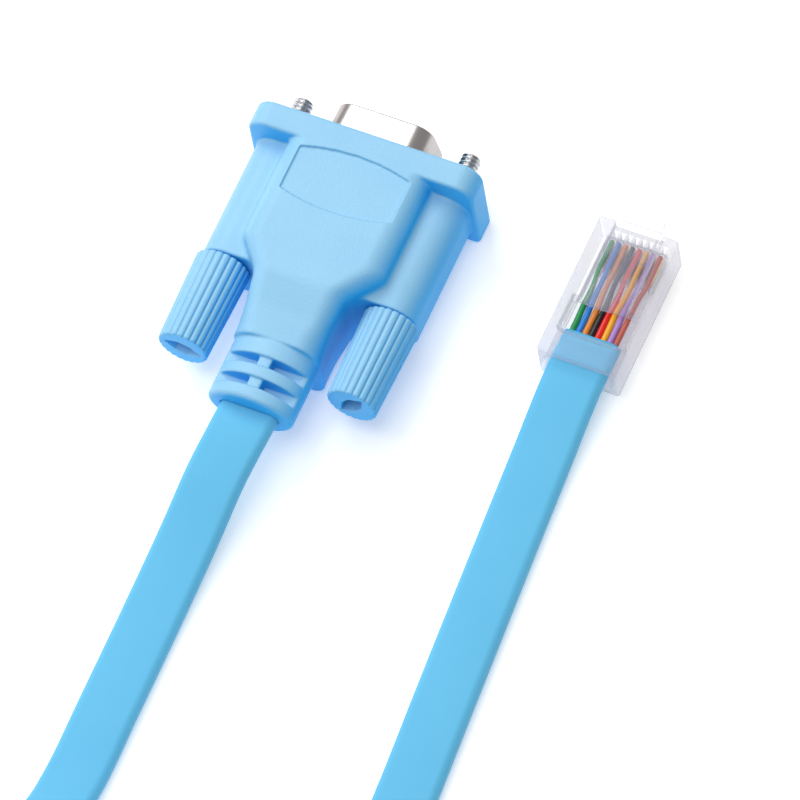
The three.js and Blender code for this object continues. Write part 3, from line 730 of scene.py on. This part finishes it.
latch = fieldPiece(
    "spring_latch",
    latchField,
    (-3.2, -14.4, 5.3),
    (3.2, 1.7, 9.1),
    0.12,
    plugOffset,
)
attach(latch, "latch")
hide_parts("plug_latch")

coreColours = {
    "green": (0.004, 0.30, 0.075),
    "blue": (0.004, 0.22, 0.72),
    "orange": (0.80, 0.24, 0.02),
    "black": (0.006, 0.006, 0.008),
    "red": (0.85, 0.012, 0.006),
    "yellow": (0.93, 0.42, 0.008),
    "violet": (0.42, 0.23, 0.62),
    "brown": (0.50, 0.10, 0.07),
}


def corePiece(number, colour):
    # a round core that narrows a little where it runs into its own channel
    s = plugSet
    back = np.linspace(1.6, s["jacketStart"] - 0.3, 60)
    x = (number - 4.5) * (s["wirePitch"] - 0.1 * ease((back - 6) / 6))
    radius = 0.34 + 0.1 * ease((back - 8) / 4)
    sway = 0.1 * np.sin(back * 0.75 + number * 1.3) * ease((back - 4) / 3) * ease((15 - back) / 4)
    angle = np.arange(20) * 2 * math.pi / 20
    grid = np.stack(
        [
            (x + sway)[:, None] + radius[:, None] * np.cos(angle),
            np.broadcast_to(-back[:, None], (len(back), 20)),
            s["wireHeight"] + radius[:, None] * np.sin(angle),
        ],
        -1,
    )
    core = ringedPiece(f"core_{colour}", grid + np.array(plugOffset))
    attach(core, "cable_assembly")
    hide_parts(f"wire_{number}")
    return core


cores = {colour: corePiece(i, colour) for i, colour in enumerate(coreColours, 1)}


def bladePiece(number):
    # a thin plate whose contact edge is rounded at the front
    s = plugSet
    x = (number - 4.5) * s["wirePitch"]
    ring = sectionRing(2.2, 0.92, 0.45, 5)
    outline = np.stack([ring[:, 0] - 3.2, ring[:, 1] + 1.55], -1)
    rows = []
    for offset, shrink in ((-0.15, 0.04), (-0.11, 0.0), (0.11, 0.0), (0.15, 0.04)):
        centre = outline.mean(0)
        small = centre + (outline - centre) * (1 - shrink)
        rows.append(np.stack([np.full(len(small), x + offset), small[:, 0], small[:, 1]], -1))
    blade = ringedPiece(f"contact_blade_{number}", np.array(rows) + np.array(plugOffset))
    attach(blade, "cable_assembly")
    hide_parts(f"plug_contact_{number}")
    return blade


blades = [bladePiece(number) for number in range(1, 9)]
print("plug made, faces:", len(plugBody.data.polygons))

# Strap round the coil

strapSet = {"angle": -90.0, "width": 10.0, "thickness": 0.8, "gap": 0.3}


def strapPiece(s, c):
    # a closed loop round the coil's section, bent with the coil
    half = (c["layerWidth"] + cableSet["thickness"]) / 2 + s["gap"] + s["thickness"] / 2
    high = c["layerPitch"] + s["gap"] + s["thickness"] / 2
    loop = sectionRing(half, high, 1.4, 10)
    middleZ = c["foot"] + c["layerPitch"]
    outward = np.roll(loop, -1, 0) - np.roll(loop, 1, 0)
    outward = np.stack([outward[:, 1], -outward[:, 0]], -1)
    outward /= np.linalg.norm(outward, axis=1)[:, None]
    ring = sectionRing(s["width"] / 2, s["thickness"] / 2, 0.3, 4)
    radial = c["meanRadius"] + loop[:, None, 0] + ring[None, :, 1] * outward[:, None, 0]
    z = middleZ + loop[:, None, 1] + ring[None, :, 1] * outward[:, None, 1]
    angle = math.radians(s["angle"]) + ring[None, :, 0] / radial
    grid = np.stack([c["centre"][0] + radial * np.cos(angle), c["centre"][1] + radial * np.sin(angle), z], -1)
    return ringedPiece("coil_strap", grid, closedRows=True)


strap = strapPiece(strapSet, coilSet)
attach(strap, "cable_assembly")
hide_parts("coil_tie")
print("strap made")

# Finishes. Each shared effect is a node group that puts out values for the material's own shader.


def effectGroup(name, inputs, outputs):
    group = bpy.data.node_groups.new(name, "ShaderNodeTree")
    for label, kind, value in inputs:
        socket = group.interface.new_socket(name=label, in_out="INPUT", socket_type=kind)
        if value is not None:
            socket.default_value = value
    for label, kind in outputs:
        group.interface.new_socket(name=label, in_out="OUTPUT", socket_type=kind)
    return group, group.nodes.new("NodeGroupInput"), group.nodes.new("NodeGroupOutput")


def makeMouldGrain():
    # fine spark-eroded grain of a mould: a height for bump and a gentle change of gloss
    group, given, out = effectGroup(
        "mouldGrain",
        [
            ("Vector", "NodeSocketVector", None),
            ("Grain", "NodeSocketFloat", 4000.0),
            ("Roughness", "NodeSocketFloat", 0.5),
        ],
        [("Height", "NodeSocketFloat"), ("Roughness", "NodeSocketFloat")],
    )
    link = group.links.new
    grain = group.nodes.new("ShaderNodeTexNoise")
    grain.inputs["Detail"].default_value = 3
    link(given.outputs["Vector"], grain.inputs["Vector"])
    link(given.outputs["Grain"], grain.inputs["Scale"])
    cloud = group.nodes.new("ShaderNodeTexNoise")
    cloud.inputs["Scale"].default_value = 160
    link(given.outputs["Vector"], cloud.inputs["Vector"])
    spread = group.nodes.new("ShaderNodeMath")
    spread.operation = "MULTIPLY_ADD"
    spread.inputs[1].default_value = 0.12
    link(cloud.outputs["Fac"], spread.inputs[0])
    link(given.outputs["Roughness"], spread.inputs[2])
    link(grain.outputs["Fac"], out.inputs["Height"])
    link(spread.outputs[0], out.inputs["Roughness"])
    return group


def makeColourDrift():
    # slow, slight change of a moulding's colour over its surface
    group, given, out = effectGroup(
        "colourDrift",
        [
            ("Vector", "NodeSocketVector", None),
            ("Colour", "NodeSocketColor", (1, 1, 1, 1)),
            ("Deep", "NodeSocketColor", (1, 1, 1, 1)),
            ("Scale", "NodeSocketFloat", 90.0),
        ],
        [("Colour", "NodeSocketColor")],
    )
    link = group.links.new
    noise = group.nodes.new("ShaderNodeTexNoise")
    noise.inputs["Detail"].default_value = 4
    link(given.outputs["Vector"], noise.inputs["Vector"])
    link(given.outputs["Scale"], noise.inputs["Scale"])
    ramp = group.nodes.new("ShaderNodeMapRange")
    ramp.inputs["From Min"].default_value = 0.35
    ramp.inputs["From Max"].default_value = 0.65
    link(noise.outputs["Fac"], ramp.inputs["Value"])
    mix = group.nodes.new("ShaderNodeMix")
    mix.data_type = "RGBA"
    link(ramp.outputs["Result"], mix.inputs[0])
    link(given.outputs["Colour"], mix.inputs[6])
    link(given.outputs["Deep"], mix.inputs[7])
    link(mix.outputs[2], out.inputs["Colour"])
    return group


def makePaintedLitTop():
    # painted light and shade: the colour is paler where the surface faces up and left, where the lamps light
    # it, and turns to a painted shade colour on its other sides
    group, given, out = effectGroup(
        "paintedLitTop",
        [
            ("Colour", "NodeSocketColor", (1, 1, 1, 1)),
            ("Deep", "NodeSocketColor", (1, 1, 1, 1)),
        ],
        [("Colour", "NodeSocketColor")],
    )
    link = group.links.new
    surface = group.nodes.new("ShaderNodeNewGeometry")
    facing = group.nodes.new("ShaderNodeVectorMath")
    facing.operation = "DOT_PRODUCT"
    # the direction that the painted light comes from: up and to the left
    facing.inputs[1].default_value = (-0.42, 0.08, 0.9)
    link(surface.outputs["Normal"], facing.inputs[0])
    ramp = group.nodes.new("ShaderNodeMapRange")
    ramp.interpolation_type = "SMOOTHSTEP"
    ramp.inputs["From Min"].default_value = -0.3
    ramp.inputs["From Max"].default_value = 0.8
    link(facing.outputs["Value"], ramp.inputs["Value"])
    mix = group.nodes.new("ShaderNodeMix")
    mix.data_type = "RGBA"
    link(ramp.outputs["Result"], mix.inputs[0])
    link(given.outputs["Deep"], mix.inputs[6])
    link(given.outputs["Colour"], mix.inputs[7])
    link(mix.outputs[2], out.inputs["Colour"])
    return group


mouldGrain = makeMouldGrain()
colourDrift = makeColourDrift()
paintedLitTop = makePaintedLitTop()


def plasticFinish(name, colour, deep, roughness, grain=4000.0, bump=0.00002, **shading):
    mat = bpy.data.materials.new(name)
    mat.use_nodes = True
    nodes, link = mat.node_tree.nodes, mat.node_tree.links.new
    shader = nodes["Principled BSDF"]
    place = nodes.new("ShaderNodeTexCoord")
    drift = nodes.new("ShaderNodeGroup")
    drift.node_tree = colourDrift
    drift.inputs["Colour"].default_value = (*colour, 1)
    drift.inputs["Deep"].default_value = (*deep, 1)
    link(place.outputs["Object"], drift.inputs["Vector"])
    link(drift.outputs["Colour"], shader.inputs["Base Color"])
    mould = nodes.new("ShaderNodeGroup")
    mould.node_tree = mouldGrain
    mould.inputs["Grain"].default_value = grain
    mould.inputs["Roughness"].default_value = roughness - 0.06
    link(place.outputs["Object"], mould.inputs["Vector"])
    link(mould.outputs["Roughness"], shader.inputs["Roughness"])
    relief = nodes.new("ShaderNodeBump")
    relief.inputs["Distance"].default_value = bump
    relief.inputs["Strength"].default_value = 1.0
    link(mould.outputs["Height"], relief.inputs["Height"])
    link(relief.outputs["Normal"], shader.inputs["Normal"])
    for socket, value in shading.items():
        shader.inputs[socket.replace("_", " ")].default_value = value
    return mat


# painted shade: mixes the material's colour towards a deep shade colour on faces turned away from the lamps,
# and leaves it pale on faces turned up and left
def paintShadeOnSides(mat, deep):
    nodes, link = mat.node_tree.nodes, mat.node_tree.links.new
    shader = nodes["Principled BSDF"]
    paintedLight = nodes.new("ShaderNodeGroup")
    paintedLight.node_tree = paintedLitTop
    paintedLight.inputs["Deep"].default_value = (*deep, 1)
    link(shader.inputs["Base Color"].links[0].from_socket, paintedLight.inputs["Colour"])
    link(paintedLight.outputs["Colour"], shader.inputs["Base Color"])
    return mat


def wear(piece, mat):
    piece.data.materials.clear()
    piece.data.materials.append(mat)


# deep blue painted on the hood and knobs as the shade on their sides
paintedShadeBlue = (0.01, 0.42, 0.92)
hoodPlastic = plasticFinish("hoodPlastic", (0.26, 0.54, 0.77), (0.24, 0.52, 0.76), 0.46, 3200, 0.00005)
knobPlastic = plasticFinish("knobPlastic", (0.25, 0.54, 0.78), (0.23, 0.52, 0.77), 0.42, 2600, 0.00006)
# paint light and shade into the hood and knob colours by the way each face turns
for mat in (hoodPlastic, knobPlastic):
    paintShadeOnSides(mat, paintedShadeBlue)
jacketPlastic = plasticFinish(
    "jacketPlastic", (0.125, 0.49, 0.76), (0.12, 0.48, 0.75), 0.5, 1800, 0.00001, Specular_IOR_Level=0.15
)
insulatorPlastic = plasticFinish("insulatorPlastic", (0.012, 0.012, 0.014), (0.02, 0.02, 0.022), 0.45)
strapTape = plasticFinish("strapTape", (0.03, 0.032, 0.036), (0.045, 0.047, 0.05), 0.9, 1500, 0.0002)


def metalFinish(name, colour, roughness, grain, bump):
    mat = plasticFinish(name, colour, tuple(c * 0.93 for c in colour), roughness, grain, bump)
    mat.node_tree.nodes["Principled BSDF"].inputs["Metallic"].default_value = 1
    return mat


shellNickel = metalFinish("shellNickel", (0.50, 0.47, 0.46), 0.3, 600, 0.000004)
screwSteel = metalFinish("screwSteel", (0.62, 0.60, 0.58), 0.22, 1500, 0.00001)
goldFlash = metalFinish("goldFlash", (0.86, 0.62, 0.25), 0.2, 1200, 0.00001)


def clearFinish(name, flat, grazing):
    # clear plastic as thin milky walls: each covers a little of what is behind it, and more where it
    # turns away
    mat = plasticFinish(name, (0.56, 0.56, 0.68), (0.60, 0.60, 0.71), 0.12, 500, 0.000004)
    nodes, link = mat.node_tree.nodes, mat.node_tree.links.new
    edge = nodes.new("ShaderNodeLayerWeight")
    edge.inputs["Blend"].default_value = 0.5
    cover = nodes.new("ShaderNodeMapRange")
    cover.interpolation_type = "SMOOTHSTEP"
    for socket, value in (("From Min", 0.12), ("From Max", 1.0), ("To Min", flat), ("To Max", grazing)):
        cover.inputs[socket].default_value = value
    link(edge.outputs["Facing"], cover.inputs["Value"])
    link(cover.outputs["Result"], nodes["Principled BSDF"].inputs["Alpha"])
    return mat


plugClear = clearFinish("plugClear", 0.1, 0.65)
latchClear = clearFinish("latchClear", 0.07, 0.5)

for piece, mat in (
    (hood, hoodPlastic),
    (cable, jacketPlastic),
    (shell, shellNickel),
    (block, insulatorPlastic),
    (strap, strapTape),
    (plugBody, plugClear),
    (latch, latchClear),
):
    wear(piece, mat)
for word in ("left", "right"):
    wear(bpy.data.objects[f"{word}_ribbed_knob"], knobPlastic)
    wear(bpy.data.objects[f"{word}_threaded_screw"], screwSteel)
for number in range(1, 10):
    wear(bpy.data.objects[f"contact_sleeve_{number}"], goldFlash)
for blade in blades:
    wear(blade, goldFlash)
for colour, core in cores.items():
    rgb = coreColours[colour]
    wear(core, plasticFinish(f"core{colour.title()}", rgb, tuple(c * 0.9 for c in rgb), 0.35, 2500, 0.00001))
print("finishes made")

# Floor and light

floorSet = {"half": 2500.0, "colour": (0.93, 0.93, 0.93), "glow": 0.3}


def makeFloor(s):
    h = s["half"]
    floorCorners = np.array([(x, y, -0.02) for x, y in ((-h, -h), (h, -h), (h, h), (-h, h))])
    floor = meshPiece("floor", floorCorners, [[0, 1, 2, 3]])
    mat = bpy.data.materials.new("paleFloor")
    mat.use_nodes = True
    shader = mat.node_tree.nodes["Principled BSDF"]
    shader.inputs["Base Color"].default_value = (*s["colour"], 1)
    shader.inputs["Roughness"].default_value = 0.9
    shader.inputs["Specular IOR Level"].default_value = 0.1
    shader.inputs["Emission Color"].default_value = (1, 1, 1, 1)
    shader.inputs["Emission Strength"].default_value = s["glow"]
    wear(floor, mat)


def softbox(name, place, aim, size, watts, colour=(1, 1, 1)):
    data = bpy.data.lights.new(name, "AREA")
    data.shape = "DISK"
    data.size = size * mm
    data.energy = watts
    data.color = colour
    lamp = bpy.data.objects.new(name, data)
    bpy.context.collection.objects.link(lamp)
    way = np.array(place, float) - np.array(aim, float)
    way /= np.linalg.norm(way)
    side = np.cross((0, 0, 1), way)
    side /= np.linalg.norm(side)
    rows = np.c_[side, np.cross(way, side), way]
    lamp.matrix_world = Matrix([[*row, p * mm] for row, p in zip(rows, place)] + [[0, 0, 0, 1]])


makeFloor(floorSet)
softbox("keySoftbox", (-330, 330, 560), (10, -20, 0), 420, 2.2)
softbox("topSoftbox", (-40, -120, 780), (20, -30, 0), 600, 2.4)
softbox("leftSoftbox", (-560, -60, 400), (0, -10, 0), 500, 1.3)
world = bpy.data.worlds.new("studio")
bpy.context.scene.world = world
world.use_nodes = True
world.node_tree.nodes["Background"].inputs[0].default_value = (1, 1, 1, 1)
world.node_tree.nodes["Background"].inputs[1].default_value = 0.4
bpy.context.scene.view_settings.view_transform = "Standard"
print("studio made")
